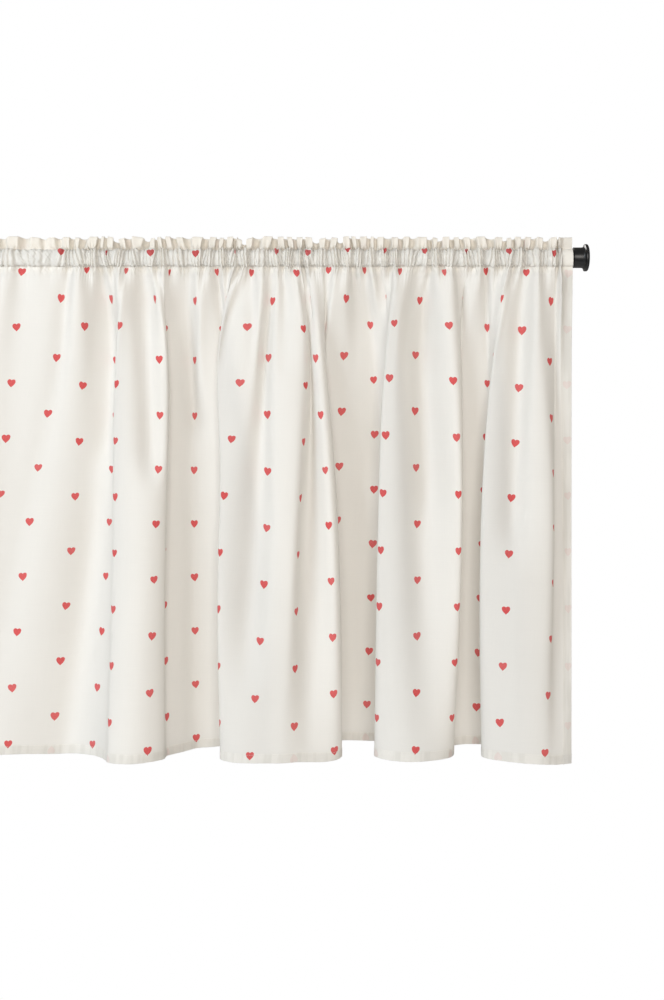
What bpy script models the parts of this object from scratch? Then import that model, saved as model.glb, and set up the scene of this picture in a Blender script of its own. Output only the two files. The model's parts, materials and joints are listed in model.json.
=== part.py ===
"""A cafe curtain gathered on a plain round rod, with a cap on each end of the rod.

Run with: blender --background --python part.py

The curtain is one width of cotton. Its top is folded over and stitched twice, which leaves a ruffled
heading above a rod pocket. Below the pocket the gathers run into wide, soft, uneven folds.

+X runs along the rod to the viewer's right, -Y is the front of the curtain and +Z is up. The origin is
on the rod's axis at the middle of its length. Tables are in millimetres, and meshes are in metres.
"""

import math

import bmesh
import bpy
import numpy as np

MM = 0.001
OBJECT_NAME = "cafe_curtain"

# Driving sizes, in millimetres.
ROD_RADIUS = 8.0
ROD_HALF_LENGTH = 469.0
ROD_WALL = 1.0
CAP_INNER_END = 458.4
CAP_OUTER_END = 475.5
CAP_BARREL_RADIUS = 11.9
CAP_FLANGE_RADIUS = 15.8
CAP_RIM_ROUNDING = 2.0
CAP_FLANGE_EDGE = 1.6
TURNED_STEPS = 36
FIT_GAP = 0.3
CLOTH_THICKNESS = 1.2
POCKET_RADIUS = ROD_RADIUS + 2.3 + CLOTH_THICKNESS / 2
STITCH_HEIGHT = 10.5
LAYER_OFFSET = 1.3
HEADING_HEIGHT = 14.0
HEM_DROP = 563.0
GATHER_DEPTH = 3.2
GATHER_CLOTH = 74.0
GATHER_DROP = 32.0
HEADING_DIP = 3.0

# The heights, as drops below the lower stitch line, of the four sections in the fold table, and how
# much of its middle depth each fold has at the upper one.
SECTION_DROPS = (0.0, 75.0, 250.0, HEM_DROP)
UPPER_SHARE = 0.45

# Each row is one turn of the cloth, followed from the pocket down to the hem. "cloth" is how far along
# the cut width it lies. The next four are where it hangs along the rod's axis at the four sections, and
# the last two are how far behind the rod's axis it hangs at the middle section and at the hem, so fronts
# are negative.
# cloth, pocket, upper, middle, hem, middle depth, hem depth
FOLD_TURNS = (
    # plain left part: three even folds
    (0, -457, -457, -457, -455, -2, -4),
    (70, -409, -411, -414, -418, -20, -32),
    (135, -364, -370, -378, -385, 11, 18),
    (200, -319, -328, -341, -350, -19, -30),
    (270, -271, -283, -303, -313, 13, 20),
    (340, -223, -234, -254, -278, -16, -26),
    # broad shallow stretch, with a long trough down it
    (404, -179, -186, -202, -238, -9, -16),
    (459, -133, -137, -164, -195, -6, -10),
    (490, -117, -121, -139, -169, -5, -3),
    (514, -104, -107, -118, -149, 2, 2),
    (541, -93, -93, -98, -126, 11, 6),
    (569, -81, -75, -78, -99, 5, -7),
    (596, -70, -70, -69, -81, -9, -27),
    # first fold: a small step on its left, and a long slope back on its right
    (612, -63, -69, -72, -76, -17, -37),
    (624, -58, -66, -69, -74, -23, -43),
    (645, -49, -50, -49, -58, -30, -50),
    (679, -30, -22, -20, -29, -26, -44),
    (700, -22, -12, -10, -14, -15, -32),
    (734, -8, -16, -19, -10, 5, -15),
    (760, 6, 3, 2, 5, 12, 0),
    (789, 22, 19, 17, 20, 18, 16),
    (815, 33, 29, 39, 40, 16, 23),
    (844, 45, 52, 66, 65, 16, 30),
    (868, 55, 56, 80, 83, 11, 23),
    # second fold: wide, with two ridges, and overhanging on both sides
    (893, 65, 53, 81, 82, -2, 6),
    (914, 72, 50, 68, 71, -10, -8),
    (934, 79, 58, 51, 60, -14, -18),
    (954, 86, 81, 57, 52, -20, -28),
    (980, 100, 96, 82, 65, -23, -42),
    (1009, 115, 107, 105, 86, -28, -47),
    (1036, 126, 125, 125, 110, -30, -47),
    (1052, 132, 139, 140, 124, -28, -46),
    (1064, 137, 147, 144, 136, -19, -42),
    (1088, 143, 152, 153, 154, -1, -34),
    (1119, 151, 157, 172, 182, -23, -24),
    (1140, 160, 167, 182, 190, -18, -16),
    (1166, 172, 170, 181, 188, 4, -6),
    (1195, 184, 172, 172, 177, 23, 22),
    (1229, 197, 194, 187, 177, 30, 46),
    (1256, 206, 209, 208, 197, 32, 52),
    (1284, 216, 225, 229, 219, 31, 50),
    (1312, 228, 236, 249, 244, 28, 46),
    # third fold: a valley down its middle, which opens out towards the hem
    (1339, 240, 243, 254, 256, 16, 30),
    (1363, 248, 245, 243, 243, 2, 8),
    (1380, 253, 243, 233, 229, -6, -8),
    (1394, 258, 250, 238, 229, -10, -20),
    (1420, 271, 262, 256, 250, -12, -37),
    (1449, 286, 278, 277, 273, 0, -41),
    (1475, 296, 294, 296, 293, 0, -36),
    (1504, 308, 314, 324, 314, -16, -22),
    (1530, 320, 327, 329, 319, -2, -4),
    (1559, 334, 329, 322, 314, 16, 14),
    (1587, 346, 342, 336, 326, 24, 31),
    (1614, 357, 361, 359, 349, 26, 35),
    (1642, 370, 365, 371, 368, 17, 26),
    # last fold, with the side hem beyond it
    (1669, 383, 369, 365, 365, -2, 5),
    (1688, 390, 373, 352, 352, -11, -9),
    (1700, 395, 382, 361, 351, -16, -20),
    (1724, 404, 400, 387, 367, -22, -34),
    (1751, 419, 415, 409, 391, -24, -43),
    (1765, 427, 423, 427, 405, -21, -45),
    (1779, 435, 431, 434, 418, -13, -44),
    (1803, 441, 440, 438, 431, 1, -39),
    (1816, 445, 444, 446, 440, 3, -35),
    (1829, 457, 457, 457, 451, 1, -31),
)

COLUMNS = 98
COLUMNS_BY_TURN = 0.55
POCKET_ANGLES = (-76, -52, -26, 0, 26, 52, 76)
BODY_DROPS = (12.0, 36.0, 75.0, 130.0, 200.0, 290.0, 390.0, 480.0, HEM_DROP)

CLOTH_COLOUR = (0.86, 0.84, 0.78)
STEEL_COLOUR = (0.05, 0.05, 0.05)
CAP_COLOUR = (0.012, 0.012, 0.013)


def spline(knots, values, at):
    """The natural cubic spline through values at the knots, read at the places given."""
    knots = np.asarray(knots, float)
    values = np.asarray(values, float)
    at = np.asarray(at, float)
    steps = np.diff(knots)
    count = len(knots)
    matrix = np.eye(count)
    right = np.zeros(values.shape)
    for i in range(1, count - 1):
        matrix[i, i - 1 : i + 2] = steps[i - 1], 2 * (steps[i - 1] + steps[i]), steps[i]
        rise = (values[i + 1] - values[i]) / steps[i]
        right[i] = 6 * (rise - (values[i] - values[i - 1]) / steps[i - 1])
    bend = np.linalg.solve(matrix, right)
    i = np.clip(np.searchsorted(knots, at) - 1, 0, count - 2)
    column = (slice(None),) + (None,) * (values.ndim - 1)
    step = steps[i][column]
    after = ((at - knots[i]) / steps[i])[column]
    before = 1 - after
    curve = (before**3 - before) * bend[i] + (after**3 - after) * bend[i + 1]
    return before * values[i] + after * values[i + 1] + curve * step**2 / 6


def fold_places(cloth, drops):
    """(x, y) of the hanging cloth at each drop (rows) and each place along the cut width (columns)."""
    turns = np.array(FOLD_TURNS, float)
    across = spline(turns[:, 0], turns[:, 1:5], cloth)
    middle, hem = spline(turns[:, 0], turns[:, 5:7], cloth).T
    x = spline(SECTION_DROPS, across.T, drops)
    return x, spline(SECTION_DROPS, np.array([0 * middle, UPPER_SHARE * middle, middle, hem]), drops)


def gather_share(drop):
    """How strong the gathers are below the stitch line: strongest at GATHER_DROP, gone in the body."""
    return drop / GATHER_DROP * math.exp(1 - drop / GATHER_DROP)


def sheet_rows():
    """The path of one warp thread as (y, z, drop, gather, dip) rows.

    It starts at the lower stitch line behind the rod, goes up behind the rod, over the top of the
    heading and down in front of the rod, and then down the body to the hem.
    """
    around = [math.radians(angle) for angle in POCKET_ANGLES]
    pocket = [(POCKET_RADIUS * math.cos(turn), POCKET_RADIUS * math.sin(turn)) for turn in around]
    top = STITCH_HEIGHT + HEADING_HEIGHT
    rows = [(LAYER_OFFSET, -STITCH_HEIGHT, 0.0, 0.0, 0.0)]
    rows += [(y, z, 0.0, 0.0, 0.0) for y, z in pocket]
    rows.append((LAYER_OFFSET, STITCH_HEIGHT, 0.0, 0.0, 0.0))
    rows.append((LAYER_OFFSET, top, 0.0, 1.0, 1.0))
    rows.append((-LAYER_OFFSET, top, 0.0, 1.0, 1.0))
    rows.append((-LAYER_OFFSET, STITCH_HEIGHT, 0.0, 0.0, 0.0))
    rows += [(-y, z, 0.0, 0.0, 0.0) for y, z in reversed(pocket)]
    rows.append((-LAYER_OFFSET, -STITCH_HEIGHT, 0.0, 0.0, 0.0))
    for drop in BODY_DROPS:
        rows.append((-LAYER_OFFSET, -STITCH_HEIGHT - drop, drop, gather_share(drop), 0.0))
    return np.array(rows)


def column_places():
    """Places across the cut width: partly even along the cloth, partly even from turn to turn."""
    turns = np.array([turn[0] for turn in FOLD_TURNS], float)
    by_turn = np.interp(np.linspace(0, len(turns) - 1, COLUMNS), np.arange(len(turns)), turns)
    even = np.linspace(turns[0], turns[-1], COLUMNS)
    return COLUMNS_BY_TURN * by_turn + (1 - COLUMNS_BY_TURN) * even


def sheet_points():
    """Every point of the sheet, in metres: rows along a warp thread, columns across the width."""
    cloth = column_places()
    y, z, drop, gather, dip = (column[:, None] for column in sheet_rows().T)
    x, fold_depth = fold_places(cloth, drop[:, 0])
    phase = 2 * np.pi * cloth / GATHER_CLOTH
    wave = np.sin(phase + 0.9 * np.sin(phase / 3.7))
    scallop = (1 - np.cos(0.81 * phase + 1.1)) / 2
    y = y + fold_depth + GATHER_DEPTH * gather * wave
    z = z - HEADING_DIP * dip * scallop
    return np.stack([x, y, z], axis=2) * MM


def new_material(name, colour, roughness, metallic):
    material = bpy.data.materials.new(name)
    material.use_nodes = True
    shader = material.node_tree.nodes["Principled BSDF"]
    shader.inputs["Base Color"].default_value = (*colour, 1.0)
    shader.inputs["Roughness"].default_value = roughness
    shader.inputs["Metallic"].default_value = metallic
    return material


def add_object(name, mesh, collection, material):
    obj = bpy.data.objects.new(name, mesh)
    mesh.materials.append(material)
    collection.objects.link(obj)
    return obj


def make_panel(collection, material):
    """One sheet: a grid moved onto the fold places, then thickened."""
    points = sheet_points()
    row_count, column_count = points.shape[:2]
    mesh = bpy.data.meshes.new("curtain_panel")
    grid = bmesh.new()
    bmesh.ops.create_grid(
        grid, x_segments=column_count - 1, y_segments=row_count - 1, size=0.5
    )
    for vertex in grid.verts:
        column = round((vertex.co.x + 0.5) * (column_count - 1))
        row = round((vertex.co.y + 0.5) * (row_count - 1))
        vertex.co = points[row, column]
    grid.to_mesh(mesh)
    grid.free()
    panel = add_object("curtain_panel", mesh, collection, material)
    mesh.shade_smooth()
    solidify = panel.modifiers.new("thickness", "SOLIDIFY")
    solidify.thickness = CLOTH_THICKNESS * MM
    solidify.offset = 0.0
    return panel


def make_turned(name, profile, closed, turned_round, collection, material):
    """A turned piece from a (radius, height) profile, laid along the rod's axis.

    A profile that ends on the axis at both ends is left open there, and the Screw closes it.
    """
    mesh = bpy.data.meshes.new(name)
    outline = bmesh.new()
    corners = [outline.verts.new((radius * MM, 0.0, height * MM)) for radius, height in profile]
    for start, end in zip(corners, corners[1:]):
        outline.edges.new((start, end))
    if closed:
        outline.edges.new((corners[-1], corners[0]))
    outline.to_mesh(mesh)
    outline.free()
    piece = add_object(name, mesh, collection, material)
    screw = piece.modifiers.new("turn", "SCREW")
    screw.axis = "Z"
    screw.steps = TURNED_STEPS
    screw.render_steps = TURNED_STEPS
    screw.use_merge_vertices = True
    screw.merge_threshold = 0.00001
    screw.use_smooth_shade = True
    piece.rotation_euler = (0.0, math.radians(-90 if turned_round else 90), 0.0)
    return piece


def arc(radius, start, stop, steps):
    """(sine, cosine) points of an arc, scaled by its radius, for rims and flares."""
    angles = [math.radians(start + (stop - start) * i / steps) for i in range(steps + 1)]
    return [(radius * math.sin(angle), radius * math.cos(angle)) for angle in angles]


def rod_profile():
    """A tube's wall, from the top of its outer side down, and back up the bore."""
    inner = ROD_RADIUS - ROD_WALL
    return [
        (ROD_RADIUS, ROD_HALF_LENGTH),
        (ROD_RADIUS, -ROD_HALF_LENGTH),
        (inner, -ROD_HALF_LENGTH),
        (inner, ROD_HALF_LENGTH),
    ]


def cap_profile():
    """A cup over the rod's end: rounded rim, flange, flared neck, straight barrel, and its bore."""
    rim_radius = CAP_FLANGE_RADIUS - CAP_RIM_ROUNDING
    rim_height = CAP_OUTER_END - CAP_RIM_ROUNDING
    rim = [(rim_radius + out, rim_height + up) for out, up in arc(CAP_RIM_ROUNDING, 0, 90, 3)]
    flare_start = rim_height - CAP_FLANGE_EDGE
    flare_depth = CAP_FLANGE_RADIUS - CAP_BARREL_RADIUS
    flare = [
        (CAP_FLANGE_RADIUS - out, flare_start - flare_depth + up)
        for out, up in arc(flare_depth, 0, 90, 3)
    ]
    bore_radius = ROD_RADIUS + FIT_GAP
    bore_end = ROD_HALF_LENGTH + FIT_GAP
    return [
        (0.0, CAP_OUTER_END),
        *rim,
        *flare,
        (CAP_BARREL_RADIUS, CAP_INNER_END),
        (bore_radius, CAP_INNER_END),
        (bore_radius, bore_end),
        (0.0, bore_end),
    ]


def main():
    for obj in list(bpy.data.objects):
        bpy.data.objects.remove(obj, do_unlink=True)
    collection = bpy.data.collections.new(OBJECT_NAME)
    bpy.context.scene.collection.children.link(collection)
    cloth = new_material("printed_cotton", CLOTH_COLOUR, 0.9, 0.0)
    steel = new_material("dark_steel", STEEL_COLOUR, 0.4, 0.9)
    black = new_material("satin_black", CAP_COLOUR, 0.35, 0.0)
    make_panel(collection, cloth)
    make_turned("rod", rod_profile(), True, False, collection, steel)
    make_turned("end_cap_left", cap_profile(), False, True, collection, black)
    make_turned("end_cap_right", cap_profile(), False, False, collection, black)


main()
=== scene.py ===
"""A gathered cafe curtain of heart-printed cotton on a rod with two end caps.

The curtain is one width of cotton. Its top is folded over and stitched twice, which leaves a ruffled
heading above a rod pocket. Below the pocket the gathers run into wide, soft, uneven folds. +X runs
along the rod, -Y is the front and +Z is up. Tables are in millimetres and meshes are in metres.
"""

import json
import math

import bmesh
import bpy
import numpy as np
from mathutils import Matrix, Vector

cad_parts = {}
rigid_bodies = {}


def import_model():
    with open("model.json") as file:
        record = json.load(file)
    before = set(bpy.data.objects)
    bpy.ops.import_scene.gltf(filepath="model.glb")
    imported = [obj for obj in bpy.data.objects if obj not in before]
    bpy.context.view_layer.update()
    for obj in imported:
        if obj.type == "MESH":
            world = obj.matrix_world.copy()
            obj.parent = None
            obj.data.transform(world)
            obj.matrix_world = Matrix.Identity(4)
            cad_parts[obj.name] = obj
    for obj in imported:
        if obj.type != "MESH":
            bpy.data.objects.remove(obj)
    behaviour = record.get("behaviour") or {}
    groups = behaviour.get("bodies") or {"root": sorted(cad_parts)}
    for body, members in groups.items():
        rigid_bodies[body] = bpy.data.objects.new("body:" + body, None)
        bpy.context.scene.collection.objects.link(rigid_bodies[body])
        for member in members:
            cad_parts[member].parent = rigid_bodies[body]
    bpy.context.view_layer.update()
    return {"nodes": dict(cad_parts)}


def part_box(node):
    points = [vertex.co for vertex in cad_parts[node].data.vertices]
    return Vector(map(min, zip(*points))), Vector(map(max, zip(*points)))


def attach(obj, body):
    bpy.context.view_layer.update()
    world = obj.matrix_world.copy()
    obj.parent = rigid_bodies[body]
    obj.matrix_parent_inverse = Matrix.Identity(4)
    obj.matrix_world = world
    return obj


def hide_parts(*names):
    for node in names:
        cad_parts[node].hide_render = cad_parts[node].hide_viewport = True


bl_info = {
    "name": "Gathered Cafe Curtain",
    "version": (1, 0, 0),
    "blender": (4, 5, 0),
    "location": "View3D > Sidebar > Curtain",
    "description": "A heart-printed cafe curtain, its stitching, rod and end caps, and a plain stage",
    "category": "Add Mesh",
}

for startup_object in list(bpy.data.objects):
    bpy.data.objects.remove(startup_object, do_unlink=True)
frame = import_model()

MM = 0.001
CLOTH_WIDTH = 1829.0
HEM_DROP = 563.0
STITCH_LINE = -10.2
UPPER_STITCH = 9.0
POCKET_CLOTH = 31.0
HEADING_CLOTH = 15.0
POCKET_FRONT = 10.1
POCKET_FOOT = 7.0
FOOT_REACH = 62.0
LAYER_GAP = 0.75
SIDE_HEM = 13.0
BOTTOM_HEM = 10.5
BOTTOM_SEAM = 9.0
TURNED_GAP = 0.85

# The heights, as drops below the lower stitch line, of the four sections in the fold table.
SECTION_DROPS = (0.0, 75.0, 250.0, HEM_DROP)
UPPER_SHARE = 0.45

# Each row is one turn of the cloth, followed from the pocket down to the hem. "cloth" is how far along
# the finished width it lies. The next four are where it hangs along the rod's axis at the four
# sections, and the last two are how far behind the rod's axis it hangs at the middle section and at the
# hem, so fronts are negative.
# cloth, pocket, upper, middle, hem, middle depth, hem depth
FOLD_TURNS = (
    # plain left part: three even folds
    (0, -457, -457, -457, -455, -2, -4),
    (70, -409, -411, -414, -418, -20, -32),
    (135, -364, -370, -378, -385, 11, 18),
    (200, -319, -328, -341, -350, -19, -30),
    (270, -271, -283, -303, -313, 13, 20),
    (340, -223, -234, -254, -278, -16, -26),
    # broad shallow stretch, with a long trough down it
    (404, -179, -186, -202, -238, -9, -16),
    (459, -133, -137, -164, -195, -6, -10),
    (490, -117, -121, -139, -169, -5, -3),
    (514, -104, -107, -118, -149, 2, 2),
    (541, -93, -93, -98, -126, 11, 6),
    (569, -81, -75, -78, -99, 5, -7),
    (596, -70, -70, -69, -81, -9, -27),
    # first fold: a small step on its left, and a long slope back on its right
    (612, -63, -69, -72, -76, -17, -37),
    (624, -58, -66, -69, -74, -23, -43),
    (645, -49, -50, -49, -58, -30, -50),
    (679, -30, -22, -20, -29, -26, -44),
    (700, -22, -12, -10, -14, -15, -32),
    (734, -8, -16, -19, -10, 5, -15),
    (760, 6, 3, 2, 5, 12, 0),
    (789, 22, 19, 17, 20, 18, 16),
    (815, 33, 29, 39, 40, 16, 23),
    (844, 45, 52, 66, 65, 16, 30),
    (868, 55, 56, 80, 83, 11, 23),
    # second fold: wide, with two ridges, and overhanging on both sides
    (893, 65, 53, 81, 82, -2, 6),
    (914, 72, 50, 68, 71, -10, -8),
    (934, 79, 58, 51, 60, -14, -18),
    (954, 86, 81, 57, 52, -20, -28),
    (980, 100, 96, 82, 65, -23, -42),
    (1009, 115, 107, 105, 86, -28, -47),
    (1036, 126, 125, 125, 110, -30, -47),
    (1052, 132, 139, 140, 124, -28, -46),
    (1064, 137, 147, 144, 136, -19, -42),
    (1088, 143, 152, 153, 154, -1, -34),
    (1119, 151, 157, 172, 182, -23, -24),
    (1140, 160, 167, 182, 190, -18, -16),
    (1166, 172, 170, 181, 188, 4, -6),
    (1195, 184, 172, 172, 177, 23, 22),
    (1229, 197, 194, 187, 177, 30, 46),
    (1256, 206, 209, 208, 197, 32, 52),
    (1284, 216, 225, 229, 219, 31, 50),
    (1312, 228, 236, 249, 244, 28, 46),
    # third fold: a valley down its middle, which opens out towards the hem
    (1339, 240, 243, 254, 256, 16, 30),
    (1363, 248, 245, 243, 243, 2, 8),
    (1380, 253, 243, 233, 229, -6, -8),
    (1394, 258, 250, 238, 229, -10, -20),
    (1420, 271, 262, 256, 250, -12, -37),
    (1449, 286, 278, 277, 273, 0, -41),
    (1475, 296, 294, 296, 293, 0, -36),
    (1504, 308, 314, 324, 314, -16, -22),
    (1530, 320, 327, 329, 319, -2, -4),
    (1559, 334, 329, 322, 314, 16, 14),
    (1587, 346, 342, 336, 326, 24, 31),
    (1614, 357, 361, 359, 349, 26, 35),
    (1642, 370, 365, 371, 368, 17, 26),
    # last fold, with the side hem beyond it
    (1669, 383, 369, 365, 365, -2, 5),
    (1688, 390, 373, 352, 352, -11, -9),
    (1700, 395, 382, 361, 351, -16, -20),
    (1724, 404, 400, 387, 367, -22, -34),
    (1751, 419, 415, 409, 391, -24, -43),
    (1765, 427, 423, 427, 405, -21, -45),
    (1779, 435, 431, 434, 418, -13, -44),
    (1803, 441, 440, 438, 431, 1, -39),
    (1816, 445, 444, 446, 440, 3, -35),
    (1829, 457, 457, 457, 451, 1, -31),
)

# Soft gathers between the pocket and the folds: where along the finished width each valley between two
# of them lies.
GATHER_VALLEYS = (
    -30, 38, 95, 152, 225, 296, 352, 411, 462, 556, 660, 762, 850, 950, 1005, 1037, 1107, 1160, 1270,
    1340, 1452, 1550, 1620, 1714, 1780, 1850,
)

# Small tucks below the pocket, which swallow some cloth, and flat places (negative pinch) in it.
# cloth, drop, half width, reach, pinch, depth
TUCKS = (
    (679, 38, 11, 26, 0.42, 1.5),
    (899, 36, 11, 24, 0.42, 0.0),
    (1119, 38, 11, 26, 0.50, 4.0),
    (1339, 37, 10, 22, 0.44, 3.5),
    (1559, 38, 11, 24, 0.50, 4.0),
    (734, 9, 9, 12, 0.36, 1.0),
    (459, -22, 9, 11, -0.10, -1.0),
    (679, -22, 9, 11, -0.40, -1.4),
    (789, -22, 9, 11, -0.40, -1.4),
    (1119, -22, 9, 11, -0.40, -1.2),
    (1229, -22, 9, 11, -0.30, -1.0),
    (1449, -22, 9, 11, -0.30, -0.8),
    (1669, -22, 9, 11, -0.36, -1.0),
    (1064, 9, 9, 11, -0.40, -1.0),
    (1174, 9, 9, 11, -0.30, -0.8),
    (1724, 9, 9, 11, -0.30, -0.8),
    (569, -22, 9, 12, 0.34, 2.0),
    (899, -22, 9, 12, 0.52, 3.2),
    (1559, -22, 9, 12, 0.30, 2.0),
)

# Creases and shallow troughs in the hanging cloth, each a line with soft sides. Height is how far it
# stands out from the fold, so a trough is negative.
# cloth at its top, drop, cloth at its foot, drop, half width, height
CREASES = (
    (479, 45, 436, 480, 26, -3.0),
    (562, 25, 556, 230, 15, -9.0),
    (592, 25, 585, 230, 18, -4.0),
    (548, 260, 530, 640, 38, -9.0),
    (657, 8, 668, 250, 15, -15.0),
    (758, 20, 794, 200, 24, -11.0),
    (935, 20, 935, 120, 9, -3.0),
    (1000, 20, 993, 480, 19, -16.0),
    (1036, 15, 1036, 130, 10, -3.0),
    (1298, 20, 1292, 260, 26, -15.0),
    (1462, 20, 1474, 300, 18, -12.0),
    (1720, 25, 1732, 340, 19, -16.0),
    (1797, 6, 1800, 200, 10, -5.0),
)

# Slack places along the bottom hem.
# cloth, half width, how far it hangs down
HEM_SAGS = (
    (532, 42, 5.6),
    (1108, 30, 3.4),
    (1829, 60, 4.4),
)

# The heading's petals: where along the finished width each valley between two of them lies.
PETAL_VALLEYS = (
    -28, 6, 38, 75, 106, 140, 171, 207, 239, 274, 305, 341, 372, 406, 432, 454, 480, 501, 544, 562, 598,
    628, 668, 694, 719, 746, 772, 812, 845, 866, 897, 928, 964, 1003, 1038, 1065, 1100, 1142, 1169, 1203,
    1243, 1267, 1296, 1314, 1347, 1396, 1421, 1466, 1493, 1526, 1551, 1581, 1628, 1659, 1685, 1712, 1738,
    1764, 1797, 1832, 1865,
)

# Deep notches along the top edge of the heading.
# cloth, half width, dip
NOTCHES = (
    (598, 14, 4.6),
    (672, 16, 3.4),
    (928, 13, 6.5),
    (1142, 12, 4.6),
    (1203, 11, 4.6),
    (1493, 12, 3.0),
    (1659, 10, 2.2),
    (1764, 11, 2.6),
)

# How far the print runs ahead of the height that it hangs at, because a slack or slanting thread takes
# up more cloth.
# cloth, then one column for each of LEAD_WARPS: pocket, lower stitches, upper, middle and hem sections
PRINT_LEADS = (
    (0, 0, 2, 2, 2, 3),
    (349, 0, 2, 2, 2, 3),
    (404, 0, 2, 2.5, 2.5, 3),
    (459, -2, 3, 1, 1, 3.5),
    (514, -3, 4, 3, -1, 3),
    (569, -3, 3, -1, -1, 3.5),
    (624, -3, 3, 3.5, 0, 4),
    (679, -3.5, 2, -1, 0, 4.5),
    (734, -4, 1, 0, -1, 3),
    (789, -4.5, 0, -1.5, -3.5, 4),
    (844, -3, 2, 0, -1, 2),
    (899, -2, 1, 1, 0, 1),
    (954, -1, 1, 2.5, 1.5, 0),
    (1009, -1, 0, -0.5, -3.5, 0),
    (1064, -2, 0, 0, -1.5, -1),
    (1119, -3.5, 2, 0, -1, 2.5),
    (1174, -1, 4, 3, 0, 2),
    (1229, 2, 3, 2.5, 0, 3),
    (1284, 1, 4, 6.5, 5, 3.5),
    (1339, 0, 3, 6, 5, 3),
    (1394, 0, 2, 7, 4, 4),
    (1449, 0, 1, 2.5, -0.5, 4.5),
    (1504, 0, 1, 4, 2.5, 5),
    (1559, 0, 2, 3, 3, 4),
    (1614, 0, 3, 2.5, 3.5, 3),
    (1669, -1, 2, 2, 1, 2),
    (1724, -3, 1, -1, -2.5, 2),
    (1779, -4.5, 0, -3, -5, 4.5),
    (1829, -4, 0, -3, -5, 5),
)
LEAD_WARPS = (-23.0, 4.0, *SECTION_DROPS[1:])

# Print: half-drop rows of small hearts. One column lies this far along the finished width, and one of
# its hearts this far below the lower stitch line.
PRINT_COLUMN = 404.0
PRINT_ROW = 9.2


def length_setting(name, description, default, precision=2):
    return bpy.props.FloatProperty(
        name=name, description=description, default=default, precision=precision, unit="LENGTH"
    )


def number_setting(name, description, default):
    return bpy.props.FloatProperty(name=name, description=description, default=default)


def triple_setting(name, description, default, subtype="COLOR"):
    return bpy.props.FloatVectorProperty(
        name=name, description=description, default=default, subtype=subtype, size=3
    )


class CurtainSettings(bpy.types.PropertyGroup):
    """Sizes and colours of the cloth and its print."""

    print_columns: length_setting("Print Columns", "Distance between neighbouring columns of hearts", 0.055)
    print_rows: length_setting("Print Rows", "Distance between hearts down one column", 0.0642)
    heart_width: length_setting("Heart Width", "Width of one printed heart", 0.0097)
    heart_height: length_setting("Heart Height", "Height of one printed heart", 0.0096)
    cloth_colour: triple_setting("Cloth", "Colour of the undyed cotton", (0.80, 0.787, 0.762))
    ink_colour: triple_setting("Ink", "Colour of the printed hearts", (0.71, 0.074, 0.079))
    thread_pitch: length_setting("Thread Pitch", "Distance between threads of the weave", 0.00045, 5)


class StitchSettings(bpy.types.PropertyGroup):
    """Sizes of the machine stitching."""

    pitch: length_setting("Stitch Pitch", "Distance from one stitch to the next", 0.0030, 4)
    length: length_setting("Stitch Length", "Length of the thread that shows in one stitch", 0.0024, 4)
    thread: length_setting("Thread", "Thickness of the sewing thread", 0.00036, 5)
    colour: triple_setting("Thread Colour", "Colour of the sewing thread", (0.80, 0.78, 0.73))


class RodSettings(bpy.types.PropertyGroup):
    """Finishes of the rod and its end caps."""

    steel_colour: triple_setting("Rod", "Colour of the rod's steel", (0.05, 0.05, 0.052))
    cap_colour: triple_setting("Caps", "Colour of the end caps' lacquer", (0.006, 0.006, 0.0065))


class StageSettings(bpy.types.PropertyGroup):
    """The camera's place and the lights."""

    camera_place: triple_setting("Camera", "Where the camera stands", (0.179, -1.5, -0.165), "TRANSLATION")
    lens: number_setting("Lens", "Focal length in millimetres", 46.55)
    surround: number_setting("Surround", "Strength of the even light from all round", 0.29)
    key: number_setting("Key Light", "Power of the large soft lamp on the left", 63.0)
    front: number_setting("Front Light", "Power of the large soft lamp straight in front", 45.0)
    back: number_setting("Back Light", "Power of the soft lamp behind", 62.0)


def spline(knots, values, at):
    """The natural cubic spline through values at the knots, read at the places given."""
    knots = np.asarray(knots, float)
    values = np.asarray(values, float)
    at = np.asarray(at, float)
    steps = np.diff(knots)
    count = len(knots)
    matrix = np.eye(count)
    right = np.zeros(values.shape)
    for i in range(1, count - 1):
        matrix[i, i - 1 : i + 2] = steps[i - 1], 2 * (steps[i - 1] + steps[i]), steps[i]
        rise = (values[i + 1] - values[i]) / steps[i]
        right[i] = 6 * (rise - (values[i] - values[i - 1]) / steps[i - 1])
    bend = np.linalg.solve(matrix, right)
    i = np.clip(np.searchsorted(knots, at) - 1, 0, count - 2)
    column = (slice(None),) + (None,) * (values.ndim - 1)
    step = steps[i][column]
    after = ((at - knots[i]) / steps[i])[column]
    before = 1 - after
    curve = (before**3 - before) * bend[i] + (after**3 - after) * bend[i + 1]
    return before * values[i] + after * values[i + 1] + curve * step**2 / 6


def fold_places(cloth, drops):
    """(x, y) of the hanging cloth at each drop (rows) and each place along the cut width (columns)."""
    turns = np.array(FOLD_TURNS, float)
    across = spline(turns[:, 0], turns[:, 1:5], cloth)
    middle, hem = spline(turns[:, 0], turns[:, 5:7], cloth).T
    x = spline(SECTION_DROPS, across.T, drops)
    return x, spline(SECTION_DROPS, np.array([0 * middle, UPPER_SHARE * middle, middle, hem]), drops)


def wander(seed, spacing, cloth):
    """A smooth line that wanders between about -1 and 1, with a new value every spacing."""
    knots = np.arange(-2 * spacing, CLOTH_WIDTH + 3 * spacing, spacing)
    values = np.random.default_rng(seed).uniform(-1, 1, len(knots))
    return spline(knots, values, cloth)


def bessel(order, angle):
    """The Bessel function of the first kind, which gives the shape of a wave of fixed cloth length."""
    total = np.zeros_like(angle)
    for k in range(9):
        term = (-1) ** k / (math.factorial(k) * math.factorial(k + order))
        total += term * (angle / 2) ** (2 * k + order)
    return total


def wave_angle(ratio):
    """How steeply a wave has to swing to fit cloth into this share of its length."""
    angles = np.linspace(0, 2.0, 101)
    return np.interp(-ratio, -bessel(0, angles), angles)


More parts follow.
